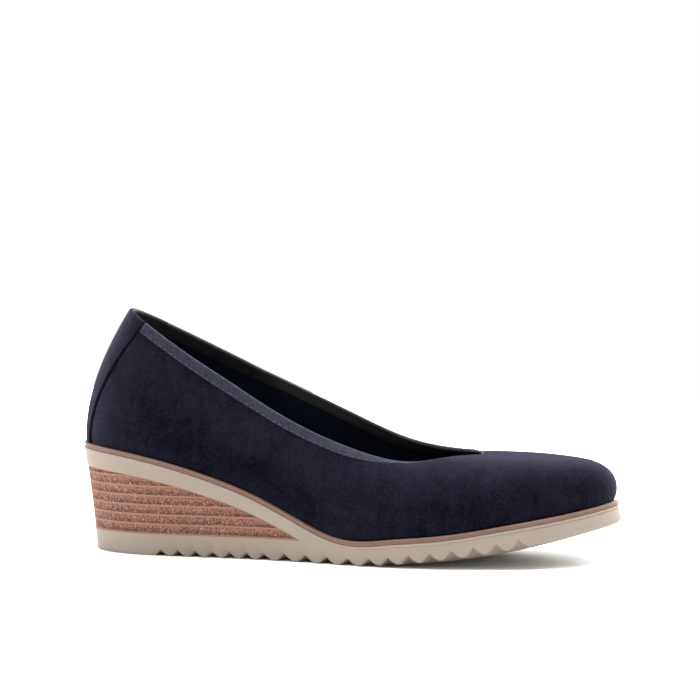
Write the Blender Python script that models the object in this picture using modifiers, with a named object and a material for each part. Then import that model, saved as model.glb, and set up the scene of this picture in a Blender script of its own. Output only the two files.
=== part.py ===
"""Right-foot wedge pump: a suede slip-on upper on a rand, a toothed rubber sole and a stacked wedge.

The toe points along +X, the inner side of the foot along +Y, and the shoe stands on the floor at Z = 0.
Sizes and tables are in millimetres, measured from the back of the heel; the meshes are made in metres.
"""

from collections import namedtuple
from math import radians

import bmesh
import bpy
import numpy as np

MM = 0.001

# Driving sizes
CLEARANCE = 0.3
WALL = 2.0
FOLD_CLEARANCE = 0.35
FOLD_RISE = 0.8
FOLD_TURN = (0.0, 40.0, 140.0, 180.0)
BINDING_THICKNESS = 0.6
BINDING_OUTSIDE = 4.2
BINDING_INSIDE = 5.0
BINDING_GAP = 0.5
STRIP_THICKNESS = 0.5
STRIP_INSIDE = 9.0
STRIP_HALF_WIDTH_TOP = 22.0
STRIP_HALF_WIDTH_FOOT = 16.5
RAND_HEIGHT = 1.9
RAND_OVERHANG = 1.7
RAND_INSIDE = 1.8
INSOLE_INSIDE = 2.3
INSOLE_RISE = 1.2
INSOLE_EDGE = 0.8
SOLE_OVERHANG = 1.85
SOLE_EDGE = 0.8
EDGE_LIFT = 1.6
NOTCH_REACH = 8.0
LIP_HEIGHT = 1.1
LIP_STEP = 0.25
TOE_SPRING = 17.5
TOE_SPRING_START = 136.0
TOE_SPRING_POWER = 1.9
SOLE_LENGTH = 245.0
SLOT_FLOOR = 9.6
BAND_HEEL = 8.1
BAND_TIP = 6.3
BAND_TIP_X = 100.0
SLOT_TIP = 1.2
WEDGE_TIP = 0.8
WEDGE_BASE = 0.9
WEDGE_LAYER = 4.25
WEDGE_RECESS = 0.35
WEDGE_LEDGE = 0.25

# How finely curves are cut
COLUMNS = 84
WALL_ROWS = 9
BOUND_ROW = 0.945
TURN_WEIGHT = 25.0
END_STEPS = 9
END_START = 5.0
HEEL_END = 34.0
TOE_END = 30.0
WEDGE_COLUMNS = 44
STRIP_COLUMNS = 13
STRIP_ROWS = 9
INSOLE_STEP = 8.0
SHARP_ANGLE = 35.0

# Room that the cutters leave behind the heel, beside the shoe and past the wedge
BEHIND_HEEL = 15.0
BESIDE_SHOE = 60.0
PAST_WEDGE = 14.0

# One row for each section round the foot, from the heel back along the outer side, over the toe and back.
# seat: where the wall meets the rand; rim: the topline; bulge and rise set how the wall leaves the rand,
# reach and drop how it comes to the topline; draft is how much the sole's wall leans in as it goes down.
Section = namedtuple("Section", "name seat_x seat_y rim_x rim_y rim_z bulge rise reach drop draft")
SECTIONS = [
    Section("heel back", 1.7, 0.0, 22.0, 0.0, 107.1, 0.6, 21.0, 11.0, 17.0, 0.129),
    Section("heel outer quarter", 9.3, -18.5, 28.7, -15.0, 104.7, 1.8, 20.0, 9.5, 16.0, 0.100),
    Section("heel outer", 29.0, -28.5, 46.0, -20.8, 93.9, 4.0, 17.0, 9.0, 12.0, 0.075),
    Section("waist outer", 75.0, -29.5, 77.0, -23.5, 75.4, 4.5, 15.0, 4.5, 12.0, 0.050),
    Section("instep outer", 112.0, -32.8, 107.0, -25.3, 58.9, 4.0, 15.5, 5.0, 10.0, 0.030),
    Section("ball outer", 152.0, -39.5, 146.0, -26.3, 45.8, 3.5, 15.0, 8.0, 4.4, 0.0),
    Section("toes outer", 195.0, -34.0, 170.0, -21.0, 46.4, 3.5, 16.5, 16.0, 2.3, -0.060),
    Section("toe cap outer", 225.0, -21.0, 180.6, -10.5, 47.2, 3.8, 19.6, 28.0, 0.6, -0.140),
    Section("toe tip", 243.0, 3.0, 184.2, 1.5, 46.6, 6.0, 19.3, 38.0, -1.3, -0.170),
    Section("toe cap inner", 230.0, 24.0, 181.0, 13.0, 46.5, 3.8, 19.6, 28.0, -0.8, -0.140),
    Section("toes inner", 204.0, 34.5, 171.0, 22.5, 45.8, 3.5, 17.0, 16.0, 0.8, -0.060),
    Section("ball inner", 170.0, 38.5, 149.0, 27.3, 48.1, 3.5, 16.0, 9.0, 4.0, 0.0),
    Section("instep inner", 126.0, 31.5, 117.0, 27.8, 60.1, 4.0, 15.5, 4.5, 10.0, 0.030),
    Section("waist inner", 85.0, 27.0, 81.0, 25.5, 76.4, 4.5, 15.0, 4.0, 12.0, 0.050),
    Section("heel inner", 30.0, 28.5, 46.0, 21.6, 93.0, 4.0, 17.0, 9.0, 12.0, 0.075),
    Section("heel inner quarter", 9.3, 18.5, 28.7, 15.2, 101.8, 1.8, 20.0, 9.5, 16.0, 0.100),
]
OUTER_INSTEP, INNER_INSTEP = 4, 12

# Height of the rand's top along the foot: the pitch of the heel, the arch and the toe spring.
Pitch = namedtuple("Pitch", "x rand_top")
PITCH = [
    Pitch(-4.0, 48.7),
    Pitch(20.0, 46.9),
    Pitch(44.0, 42.8),
    Pitch(67.0, 36.3),
    Pitch(89.0, 28.1),
    Pitch(111.0, 17.7),
    Pitch(123.0, 12.8),
    Pitch(135.0, 10.8),
    Pitch(152.0, 12.2),
    Pitch(173.0, 14.3),
    Pitch(203.0, 19.3),
    Pitch(232.0, 24.7),
    Pitch(250.0, 28.9),
]

# Notches in the sole's lower edge, zone by zone: how many, the first one's place, pitch and depths.
Zone = namedtuple("Zone", "name count first pitch first_depth last_depth")
TREAD = [
    Zone("heel", 7, 44.1, 8.0, 2.7, 2.9),
    Zone("waist", 5, 102.1, 10.2, 3.3, 3.0),
    Zone("forefoot", 7, 151.5, 9.35, 3.3, 3.9),
]

# One tooth between two notches, as shares of its pitch and of its notch's depth
Tooth = namedtuple("Tooth", "along depth")
TOOTH = [
    Tooth(0.0, 1.0),
    Tooth(0.16, 0.52),
    Tooth(0.45, 0.0),
    Tooth(0.66, 0.0),
    Tooth(0.84, 0.40),
]

# Finishes, as the colour's red, green and blue out of 255 and its roughness
Finish = namedtuple("Finish", "name red green blue roughness")
SUEDE = Finish("navy suede", 38, 38, 50, 0.95)
BINDING = Finish("grey-blue binding", 66, 66, 80, 0.9)
RAND = Finish("brown rand", 140, 108, 98, 0.7)
RUBBER = Finish("beige rubber", 182, 168, 155, 0.65)
STACK = Finish("stacked cork", 150, 107, 90, 0.75)
SOCK = Finish("dark sock lining", 20, 22, 30, 0.85)


def table_columns(rows, *names):
    """The named columns of a table as an array, one line for each row."""
    return np.array([[getattr(row, name) for name in names] for row in rows])


def spline(knots, values, at, period=None):
    """Cubic spline through the values at the knots, natural at its ends or closed over a period."""
    if period:
        knots = np.concatenate([knots - period, knots, knots + period])
        values = np.concatenate([values, values, values])
        at = np.mod(at, period)
    gap = np.diff(knots)
    slope = np.diff(values, axis=0) / gap[:, None]
    count = len(knots)
    system = np.eye(count)
    right = np.zeros_like(values)
    for i in range(1, count - 1):
        system[i, i - 1:i + 2] = gap[i - 1], 2.0 * (gap[i - 1] + gap[i]), gap[i]
        right[i] = 6.0 * (slope[i] - slope[i - 1])
    bend = np.linalg.solve(system, right)
    i = np.clip(np.searchsorted(knots, at) - 1, 0, count - 2)
    left = ((knots[i + 1] - at) / gap[i])[:, None]
    share = 1.0 - left
    straight = left * values[i] + share * values[i + 1]
    curved = (left ** 3 - left) * bend[i] + (share ** 3 - share) * bend[i + 1]
    return straight + curved * gap[i][:, None] ** 2 / 6.0


SEAT = table_columns(SECTIONS, "seat_x", "seat_y")
CHORDS = np.linalg.norm(np.roll(SEAT, -1, axis=0) - SEAT, axis=1)
STATIONS = np.concatenate([[0.0], np.cumsum(CHORDS)[:-1]])
PERIMETER = CHORDS.sum()


def around(u, *names):
    """Columns of the section table, smoothed round the foot, at distances u along the feather line."""
    return spline(STATIONS, table_columns(SECTIONS, *names), np.asarray(u, dtype=float), PERIMETER)


def along(x, rows, name):
    """A column of a table of heights, smoothed along the foot."""
    knots = table_columns(rows, "x")[:, 0]
    return spline(knots, table_columns(rows, name), np.asarray(x, dtype=float))[:, 0]


def rand_top(x):
    """Height of the rand's top."""
    return along(x, PITCH, "rand_top")


def sole_top(x):
    """Height of the sole's top, under the rand."""
    return rand_top(x) - RAND_HEIGHT - CLEARANCE


def toe_spring(x):
    """Height of the sole's underside: flat under heel and ball, then rising to the toe."""
    share = np.clip((x - TOE_SPRING_START) / (SOLE_LENGTH - TOE_SPRING_START), 0.0, None)
    return TOE_SPRING * share ** TOE_SPRING_POWER


def outwards(u):
    """Plan direction that points out of the feather line."""
    step = 0.5
    run = around(u + step, "seat_x", "seat_y") - around(u - step, "seat_x", "seat_y")
    out = np.stack([run[:, 1], -run[:, 0]], axis=1)
    return out / np.linalg.norm(out, axis=1, keepdims=True)


def outline(u, offset):
    """Feather line in plan, moved outwards by an offset."""
    offset = np.broadcast_to(offset, np.shape(u))
    return around(u, "seat_x", "seat_y") + outwards(u) * offset[:, None]


def wall(u, v):
    """Outer face of the upper, from the feather line at v = 0 to the topline at v = 1."""
    u, v = np.broadcast_arrays(np.asarray(u, dtype=float), np.asarray(v, dtype=float))
    plan = outline(u, 0.0)
    seat = np.column_stack([plan, rand_top(plan[:, 0]) + CLEARANCE])
    rim = around(u, "rim_x", "rim_y", "rim_z")
    bulge, rise, reach, drop = around(u, "bulge", "rise", "reach", "drop").T
    low = seat + np.column_stack([outwards(u) * bulge[:, None], rise])
    away = plan - rim[:, :2]
    away = away / np.linalg.norm(away, axis=1, keepdims=True)
    high = rim + np.column_stack([away * reach[:, None], -drop])
    v = v[:, None]
    w = 1.0 - v
    return w ** 3 * seat + 3.0 * w * w * v * low + 3.0 * w * v * v * high + v ** 3 * rim


def wall_normal(u, v):
    """Direction that points out of the wall, and the direction up the wall."""
    across = wall(u + 0.5, v) - wall(u - 0.5, v)
    upward = wall(u, v + 0.01) - wall(u, v - 0.01)
    normal = np.cross(across, upward)
    normal = normal / np.linalg.norm(normal, axis=1, keepdims=True)
    return normal, upward / np.linalg.norm(upward, axis=1, keepdims=True)


def off_wall(u, v, lift, raised=0.0):
    """Points lifted off the wall's outer face and raised along its run."""
    normal, upward = wall_normal(u, v)
    return wall(u, v) + normal * lift + upward * raised


def below_topline(u, distance):
    """Places up the wall that lie a distance below the topline, measured along the wall."""
    shares = np.linspace(0.0, 1.0, 49)
    v = np.empty(len(u))
    for i, place in enumerate(u):
        curve = wall(np.full(len(shares), place), 1.0 - shares)
        steps = np.linalg.norm(np.diff(curve, axis=0), axis=1)
        v[i] = 1.0 - np.interp(distance, np.append(0.0, np.cumsum(steps)), shares)
    return v


def even_columns(count):
    """Places round the feather line, closer together where it turns."""
    u = np.linspace(0.0, PERIMETER, 1201)
    heading = np.unwrap(np.arctan2(*outwards(u).T[::-1]))
    measure = u + TURN_WEIGHT * np.concatenate([[0.0], np.cumsum(np.abs(np.diff(heading)))])
    return np.interp(np.linspace(0.0, measure[-1], count + 1), measure, u)


def sheet(points):
    """A mesh grid drawn onto an array of points (columns, rows, 3); ends that coincide are joined."""
    columns, rows = points.shape[:2]
    mesh = bmesh.new()
    bmesh.ops.create_grid(mesh, x_segments=columns - 1, y_segments=rows - 1, size=1.0)
    places = points.transpose(1, 0, 2).reshape(-1, 3) * MM
    for vertex, place in zip(mesh.verts, places):
        vertex.co = place
    bmesh.ops.remove_doubles(mesh, verts=mesh.verts, dist=1e-6)
    return mesh


def close_ends(mesh):
    """Fills the open ends of a sheet that is rolled into a tube."""
    bmesh.ops.holes_fill(mesh, edges=[edge for edge in mesh.edges if edge.is_boundary])
    bmesh.ops.recalc_face_normals(mesh, faces=mesh.faces)
    return mesh


def prism(profile):
    """A side profile of (x, z) points, extruded right across the shoe."""
    mesh = bmesh.new()
    corners = [mesh.verts.new((x * MM, -BESIDE_SHOE * MM, z * MM)) for x, z in profile]
    face = mesh.faces.new(corners)
    grown = bmesh.ops.extrude_face_region(mesh, geom=[face])
    moved = [item for item in grown["geom"] if isinstance(item, bmesh.types.BMVert)]
    bmesh.ops.translate(mesh, verts=moved, vec=(0.0, 2.0 * BESIDE_SHOE * MM, 0.0))
    bmesh.ops.recalc_face_normals(mesh, faces=mesh.faces)
    return mesh


def linear(value):
    """A colour channel out of 255 as linear light."""
    share = value / 255.0
    return share / 12.92 if share <= 0.04045 else ((share + 0.055) / 1.055) ** 2.4


def material(finish):
    """Principled material of a finish."""
    made = bpy.data.materials.new(finish.name)
    made.use_nodes = True
    shader = made.node_tree.nodes["Principled BSDF"]
    colour = [linear(channel) for channel in (finish.red, finish.green, finish.blue)]
    shader.inputs["Base Color"].default_value = (*colour, 1.0)
    shader.inputs["Roughness"].default_value = finish.roughness
    shader.inputs["Metallic"].default_value = 0.0
    return made


def add_part(name, mesh, finish, shoe):
    """A named piece of the shoe, in its collection and under its empty."""
    data = bpy.data.meshes.new(name)
    mesh.to_mesh(data)
    mesh.free()
    data.materials.append(material(finish))
    data.shade_smooth()
    data.set_sharp_from_angle(angle=radians(SHARP_ANGLE))
    part = bpy.data.objects.new(name, data)
    part.parent = shoe
    shoe.users_collection[0].objects.link(part)
    return part


def thicken(part, thickness, offset):
    """Gives an open sheet its thickness."""
    solid = part.modifiers.new("thickness", "SOLIDIFY")
    solid.thickness = thickness * MM
    solid.offset = offset


def cut(part, mesh, operation, cutters, shoe):
    """Cuts a part with a hidden solid, or keeps only what lies inside it."""
    data = bpy.data.meshes.new(part.name + "_cutter")
    mesh.to_mesh(data)
    mesh.free()
    cutter = bpy.data.objects.new(data.name, data)
    cutter.parent = shoe
    cutter.hide_render = True
    cutter.display_type = "WIRE"
    cutters.objects.link(cutter)
    boolean = part.modifiers.new("cut", "BOOLEAN")
    boolean.operation = operation
    boolean.solver = "EXACT"
    boolean.object = cutter


def add_upper(shoe):
    """The suede upper: one wall round the foot, open at the topline and underneath."""
    columns = even_columns(COLUMNS)
    rows = np.sort(np.append(np.linspace(0.0, 1.0, WALL_ROWS), BOUND_ROW))
    points = np.stack([wall(columns, np.full(len(columns), v)) for v in rows], axis=1)
    points[-1] = points[0]
    thicken(add_part("upper", sheet(points), SUEDE, shoe), WALL, -1.0)


def fold_over(u, inside):
    """Rows of a strip as it turns over the topline and runs down inside the shoe."""
    top = np.ones(len(u))
    radius = WALL / 2.0 + FOLD_CLEARANCE
    rows = []
    for angle in np.radians(FOLD_TURN):
        rows.append(off_wall(u, top, radius * np.cos(angle) - WALL / 2.0, FOLD_RISE * np.sin(angle)))
    rows.append(off_wall(u, below_topline(u, inside), -WALL - FOLD_CLEARANCE))
    return rows


def strip_columns(v):
    """Columns across the back strip at a height up the wall, as places along the feather line."""
    half_width = STRIP_HALF_WIDTH_TOP + (STRIP_HALF_WIDTH_FOOT - STRIP_HALF_WIDTH_TOP) * (1.0 - v) ** 2
    span = np.array([-5.0, 5.0])
    narrowing = np.ptp(span) / np.linalg.norm(np.diff(wall(span, np.full(2, v)), axis=0))
    return half_width * narrowing * np.linspace(-1.0, 1.0, STRIP_COLUMNS)


def add_topline_binding(shoe):
    """The flat binding folded over the topline, from one side of the back strip to the other."""
    start = strip_columns(1.0)[-1] + BINDING_GAP
    columns = even_columns(COLUMNS)
    columns = columns[(columns > start + BINDING_GAP) & (columns < PERIMETER - start - BINDING_GAP)]
    columns = np.concatenate([[start], columns, [PERIMETER - start]])
    outside = off_wall(columns, below_topline(columns, BINDING_OUTSIDE), FOLD_CLEARANCE)
    strip = sheet(np.stack([outside] + fold_over(columns, BINDING_INSIDE), axis=1))
    thicken(add_part("topline_binding", strip, BINDING, shoe), BINDING_THICKNESS, 1.0)


def add_back_strip(shoe):
    """The strip down the heel's back, from the rand over the topline into the shoe."""
    rows = []
    for v in np.linspace(0.0, 1.0, STRIP_ROWS)[:-1]:
        columns = strip_columns(v)
        rows.append(off_wall(columns, np.full(len(columns), v), FOLD_CLEARANCE))
    rows += fold_over(strip_columns(1.0), STRIP_INSIDE)
    strip = sheet(np.stack(rows, axis=1))
    thicken(add_part("back_strip", strip, SUEDE, shoe), STRIP_THICKNESS, 1.0)


def add_rand(shoe):
    """The rounded rand between upper and sole, a closed ring."""
    columns = even_columns(COLUMNS)
    turn = np.radians([-90.0, -45.0, 0.0, 45.0, 90.0])
    half = RAND_HEIGHT / 2.0
    flat = RAND_OVERHANG - half
    section = [(-RAND_INSIDE, -RAND_HEIGHT)]
    section += [(flat + half * np.cos(angle), half * np.sin(angle) - half) for angle in turn]
    section += [(-RAND_INSIDE, 0.0), section[0]]
    rings = []
    for out, up in section:
        height = rand_top(outline(columns, 0.0)[:, 0]) + up
        rings.append(np.column_stack([outline(columns, out), height]))
    points = np.stack(rings, axis=1)
    points[-1] = points[0]
    add_part("rand", sheet(points), RAND, shoe)


def plan_sides(offset_at, shares):
    """Outer and inner edge of a plan outline at shares of its length, from heel to toe."""
    u = np.linspace(0.0, PERIMETER, 2400, endpoint=False)
    plan = outline(u, offset_at(u))
    plan = np.roll(plan, -np.argmin(plan[:, 0]), axis=0)
    toe = np.argmax(plan[:, 0])
    outer = plan[:toe + 1]
    inner = np.concatenate([plan[toe:], plan[:1]])[::-1]
    x = plan[0, 0] + (plan[toe, 0] - plan[0, 0]) * shares
    return x, np.interp(x, *outer.T), np.interp(x, *inner.T)


def loft(levels, shares):
    """Solid through cross sections from heel to toe.

    Each level, from the bottom up, gives its plan offset round the foot and its height along it."""
    outer, inner = [], []
    for offset_at, height_at in levels:
        x, y_outer, y_inner = plan_sides(offset_at, shares)
        outer.append(np.column_stack([x, y_outer, height_at(x)]))
        inner.append(np.column_stack([x, y_inner, height_at(x)]))
    rows = outer + inner[::-1] + outer[:1]
    return close_ends(sheet(np.stack(rows, axis=1)))


def notches():
    """Places of the tread's notches along the sole, and their depths."""
    tops = [zone.first + zone.pitch * np.arange(zone.count) for zone in TREAD]
    depths = [np.linspace(zone.first_depth, zone.last_depth, zone.count) for zone in TREAD]
    return np.concatenate(tops), np.concatenate(depths)


def tread_profile():
    """Turning points of the toothed edge, from foot to foot: place along the sole and height."""
    tops, depths = notches()
    pitches = np.append(np.diff(tops), TREAD[-1].pitch)
    profile = [(tops[0] - TREAD[0].pitch * (1.0 - TOOTH[-2].along), 0.0)]
    for top, depth, pitch in zip(tops, depths, pitches):
        profile += [(top + tooth.along * pitch, tooth.depth * depth) for tooth in TOOTH]
    return np.array(profile[:-1])


def toothed_edge(x):
    """Height of the sole's lower edge, with its notches."""
    share = np.clip((x - TOE_SPRING_START) / (SOLE_LENGTH - TOE_SPRING_START), 0.0, 1.0)
    lift = EDGE_LIFT * 4.0 * share * (1.0 - share)
    return toe_spring(x) + lift + np.interp(x, *tread_profile().T)


def wall_offset(u, drop):
    """Plan offset of the sole's side at a drop below its top, leaning by the section's draft."""
    return SOLE_OVERHANG - LIP_STEP - around(u, "draft")[:, 0] * drop


def floor_drop(u):
    """Drop from the sole's top to its underside."""
    x = around(u, "seat_x")[:, 0]
    return sole_top(x) - toe_spring(x)


def rounded_ends(first, last):
    """Places along a plan outline that close up towards its round heel and toe."""
    turn = 1.0 - np.cos(np.radians(np.linspace(END_START, 90.0, END_STEPS)))
    return np.concatenate([first + HEEL_END * turn, last - TOE_END * turn[::-1]])


def sole_shares():
    """Cross sections of the sole: its round ends and every turn of its edge, as shares of its length."""
    x = plan_sides(lambda u: wall_offset(u, floor_drop(u)), np.array([0.0, 1.0]))[0]
    places = np.concatenate([rounded_ends(*x), tread_profile()[:, 0]])
    places = np.unique(np.round(places, 3))
    return (places - x[0]) / (x[1] - x[0])


def band_bottom(x):
    """Underside of the sole's upper band, which covers the wedge."""
    share = np.clip(x / BAND_TIP_X, 0.0, 1.0)
    return sole_top(x) - BAND_HEEL - (BAND_TIP - BAND_HEEL) * share


def wedge_profile(inset, tip_height):
    """Side profile of the wedge's slot, drawn in by an inset and cut off where it gets thin."""
    x = np.linspace(0.0, BAND_TIP_X + PAST_WEDGE, 121)
    low = SLOT_FLOOR + inset
    tip = np.interp(-low - tip_height, inset - band_bottom(x), x) - inset
    top = np.append(np.linspace(tip, 0.0, 16), -BEHIND_HEEL)
    return [(-BEHIND_HEEL, low), (tip, low)] + list(zip(top, band_bottom(np.maximum(top, 0.0)) - inset))


def add_sole(shoe, cutters):
    """The rubber sole with its lip, toothed edge, toe spring and the slot for the wedge."""
    levels = [
        (lambda u: wall_offset(u, floor_drop(u)) - NOTCH_REACH, toe_spring),
        (lambda u: wall_offset(u, floor_drop(u)) - SOLE_EDGE, toothed_edge),
        (lambda u: wall_offset(u, floor_drop(u)), lambda x: toothed_edge(x) + SOLE_EDGE),
        (lambda u: wall_offset(u, LIP_HEIGHT), lambda x: sole_top(x) - LIP_HEIGHT - LIP_STEP),
        (lambda u: np.full(len(u), SOLE_OVERHANG), lambda x: sole_top(x) - LIP_HEIGHT),
        (lambda u: np.full(len(u), SOLE_OVERHANG), sole_top),
    ]
    sole = add_part("sole_unit", loft(levels, sole_shares()), RUBBER, shoe)
    cut(sole, prism(wedge_profile(0.0, SLOT_TIP)), "DIFFERENCE", cutters, shoe)


def add_wedge(shoe, cutters):
    """The stacked wedge: layers that stand proud at their tops over a thin base, trimmed to the slot."""
    u = np.linspace(STATIONS[INNER_INSTEP] - PERIMETER, STATIONS[OUTER_INSTEP] + PAST_WEDGE, WEDGE_COLUMNS)
    top = sole_top(around(u, "seat_x")[:, 0])
    start = SLOT_FLOOR + WEDGE_BASE - WEDGE_LAYER
    layers = int(np.ceil((band_bottom(np.zeros(1))[0] - start) / WEDGE_LAYER))
    rings = []
    for layer in range(layers):
        for edge, recess in ((0.0, WEDGE_LEDGE), (1.0, 0.0)):
            height = start + (layer + edge) * WEDGE_LAYER
            plan = outline(u, wall_offset(u, top - height) - WEDGE_RECESS - recess)
            plan = np.concatenate([plan, plan[:1]])
            rings.append(np.column_stack([plan, np.full(len(plan), height)]))
    stack = close_ends(sheet(np.stack(rings, axis=1)))
    wedge = add_part("wedge_heel", stack, STACK, shoe)
    cut(wedge, prism(wedge_profile(CLEARANCE, WEDGE_TIP)), "INTERSECT", cutters, shoe)


def add_insole(shoe):
    """The insole, on the sole inside the rand and the upper."""
    levels = [
        (lambda u: np.full(len(u), -INSOLE_INSIDE), lambda x: rand_top(x) - RAND_HEIGHT),
        (lambda u: np.full(len(u), -INSOLE_INSIDE), lambda x: rand_top(x) + INSOLE_RISE - INSOLE_EDGE),
        (lambda u: np.full(len(u), -INSOLE_INSIDE - INSOLE_EDGE), lambda x: rand_top(x) + INSOLE_RISE),
    ]
    ends = rounded_ends(0.0, SOLE_LENGTH)
    places = np.unique(np.concatenate([ends, np.arange(HEEL_END, SOLE_LENGTH - TOE_END, INSOLE_STEP)]))
    add_part("insole", loft(levels, places / SOLE_LENGTH), SOCK, shoe)


def plan_centre():
    """Middle of the shoe's plan, over the sole's lip, its toe and the upper."""
    u = np.linspace(0.0, PERIMETER, 2400)
    shapes = [outline(u, SOLE_OVERHANG), outline(u, wall_offset(u, floor_drop(u)))]
    shapes += [wall(u, np.full(len(u), v))[:, :2] for v in np.linspace(0.0, 0.5, 11)]
    plan = np.concatenate(shapes)
    return (plan.min(axis=0) + plan.max(axis=0)) / 2.0


def main():
    for item in list(bpy.data.objects):
        bpy.data.objects.remove(item)
    parts = bpy.data.collections.new("wedge_pump")
    cutters = bpy.data.collections.new("cutters")
    for collection in (parts, cutters):
        bpy.context.scene.collection.children.link(collection)
    shoe = bpy.data.objects.new("shoe", None)
    parts.objects.link(shoe)
    centre = plan_centre()
    shoe.location = (-centre[0] * MM, -centre[1] * MM, 0.0)
    add_sole(shoe, cutters)
    add_wedge(shoe, cutters)
    add_rand(shoe)
    add_insole(shoe)
    add_upper(shoe)
    add_topline_binding(shoe)
    add_back_strip(shoe)


main()
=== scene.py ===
"""Looks of the suede wedge pump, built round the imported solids.

The shoe's own measures are millimetres: x runs from the heel's back to the toe, y to the inner side
of the foot and z up from the floor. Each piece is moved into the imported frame, in metres, as it is made.
"""

import math
from collections import namedtuple

import bmesh
import bpy
import numpy as np
from bpy.props import FloatProperty, FloatVectorProperty, IntProperty, PointerProperty
from mathutils import Euler, Matrix, Vector


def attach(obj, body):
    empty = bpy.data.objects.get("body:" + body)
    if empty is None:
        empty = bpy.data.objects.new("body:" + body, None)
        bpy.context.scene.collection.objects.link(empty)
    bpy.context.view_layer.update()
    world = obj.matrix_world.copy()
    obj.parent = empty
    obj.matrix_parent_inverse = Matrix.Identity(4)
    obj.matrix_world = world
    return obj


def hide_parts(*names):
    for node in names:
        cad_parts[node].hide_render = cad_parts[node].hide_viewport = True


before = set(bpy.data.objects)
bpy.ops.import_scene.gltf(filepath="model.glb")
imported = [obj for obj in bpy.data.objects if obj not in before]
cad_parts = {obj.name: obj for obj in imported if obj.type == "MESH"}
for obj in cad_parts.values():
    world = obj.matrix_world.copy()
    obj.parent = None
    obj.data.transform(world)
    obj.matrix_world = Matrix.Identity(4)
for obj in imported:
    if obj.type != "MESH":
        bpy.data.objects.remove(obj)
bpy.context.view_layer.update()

bl_info = {
    "name": "Suede wedge pump",
    "version": (1, 0, 0),
    "blender": (4, 5, 0),
    "location": "3D View > Sidebar > Pump",
    "description": "Builds the visible pieces of a suede wedge pump round its packed solids",
    "category": "Object",
}

MM = 0.001
BLACK, WHITE = (0.0, 0.0, 0.0, 1.0), (1.0, 1.0, 1.0, 1.0)
SHOE_ORIGIN = np.array([122.914, -0.558, 0.0])

# Sections round the foot, from the heel back along the outer side, over the toe and back. seat: where the
# wall meets the rand; rim: the topline; bulge and rise set how the wall leaves the rand, reach and drop how
# it comes to the topline; draft is how much the sole's wall leans in as it goes down.
Section = namedtuple("Section", "name seat_x seat_y rim_x rim_y rim_z bulge rise reach drop draft")
SECTIONS = [
    Section("heel back", 1.7, 0.0, 22.0, 0.0, 107.1, 0.6, 21.0, 11.0, 17.0, 0.129),
    Section("heel outer quarter", 9.3, -18.5, 28.7, -15.0, 104.7, 1.8, 20.0, 9.5, 16.0, 0.100),
    Section("heel outer", 29.0, -28.5, 46.0, -20.8, 93.9, 4.0, 17.0, 9.0, 12.0, 0.075),
    Section("waist outer", 75.0, -29.5, 77.0, -23.5, 75.4, 4.5, 15.0, 4.5, 12.0, 0.050),
    Section("instep outer", 112.0, -32.8, 107.0, -25.3, 58.9, 4.0, 15.5, 5.0, 10.0, 0.030),
    Section("ball outer", 152.0, -39.5, 146.0, -26.3, 45.8, 3.5, 15.0, 8.0, 4.4, 0.0),
    Section("toes outer", 195.0, -34.0, 170.0, -21.0, 46.4, 3.5, 16.5, 16.0, 2.3, -0.060),
    Section("toe cap outer", 225.0, -21.0, 180.6, -10.5, 47.2, 3.8, 19.6, 28.0, 0.6, -0.140),
    Section("toe tip", 243.0, 3.0, 184.2, 1.5, 46.6, 6.0, 19.3, 38.0, -1.3, -0.170),
    Section("toe cap inner", 230.0, 24.0, 181.0, 13.0, 46.5, 3.8, 19.6, 28.0, -0.8, -0.140),
    Section("toes inner", 204.0, 34.5, 171.0, 22.5, 45.8, 3.5, 17.0, 16.0, 0.8, -0.060),
    Section("ball inner", 170.0, 38.5, 149.0, 27.3, 48.1, 3.5, 16.0, 9.0, 4.0, 0.0),
    Section("instep inner", 126.0, 31.5, 117.0, 27.8, 60.1, 4.0, 15.5, 4.5, 10.0, 0.030),
    Section("waist inner", 85.0, 27.0, 81.0, 25.5, 76.4, 4.5, 15.0, 4.0, 12.0, 0.050),
    Section("heel inner", 30.0, 28.5, 46.0, 21.6, 93.0, 4.0, 17.0, 9.0, 12.0, 0.075),
    Section("heel inner quarter", 9.3, 18.5, 28.7, 15.2, 101.8, 1.8, 20.0, 9.5, 16.0, 0.100),
]
OUTER_INSTEP, INNER_INSTEP = 4, 12

# How finely a fold over the topline is cut
FOLD_STEPS = 12

# Height of the rand's top along the foot
Pitch = namedtuple("Pitch", "x rand_top")
PITCH = [
    Pitch(-4.0, 48.7),
    Pitch(20.0, 46.9),
    Pitch(44.0, 42.8),
    Pitch(67.0, 36.3),
    Pitch(89.0, 28.1),
    Pitch(111.0, 17.7),
    Pitch(123.0, 12.8),
    Pitch(135.0, 10.8),
    Pitch(152.0, 12.2),
    Pitch(173.0, 14.3),
    Pitch(203.0, 19.3),
    Pitch(232.0, 24.7),
    Pitch(250.0, 28.9),
]

# Notches in the sole's lower edge, zone by zone: how many, the first one's place, pitch and depths
Zone = namedtuple("Zone", "name count first pitch first_depth last_depth")
TREAD = [
    Zone("heel", 7, 44.1, 8.0, 2.7, 2.9),
    Zone("waist", 5, 102.1, 10.2, 3.3, 3.0),
    Zone("forefoot", 7, 151.5, 9.35, 3.3, 3.9),
]

# One tooth between two notches, as shares of its pitch and of its notch's depth; roll is how far the
# side's lower edge is rounded there, in millimetres
Tooth = namedtuple("Tooth", "along depth roll")
TOOTH = [
    Tooth(0.0, 1.0, 1.2),
    Tooth(0.16, 0.52, 0.5),
    Tooth(0.45, 0.0, 0.6),
    Tooth(0.66, 0.0, 1.0),
    Tooth(0.84, 0.40, 2.0),
]

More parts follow.
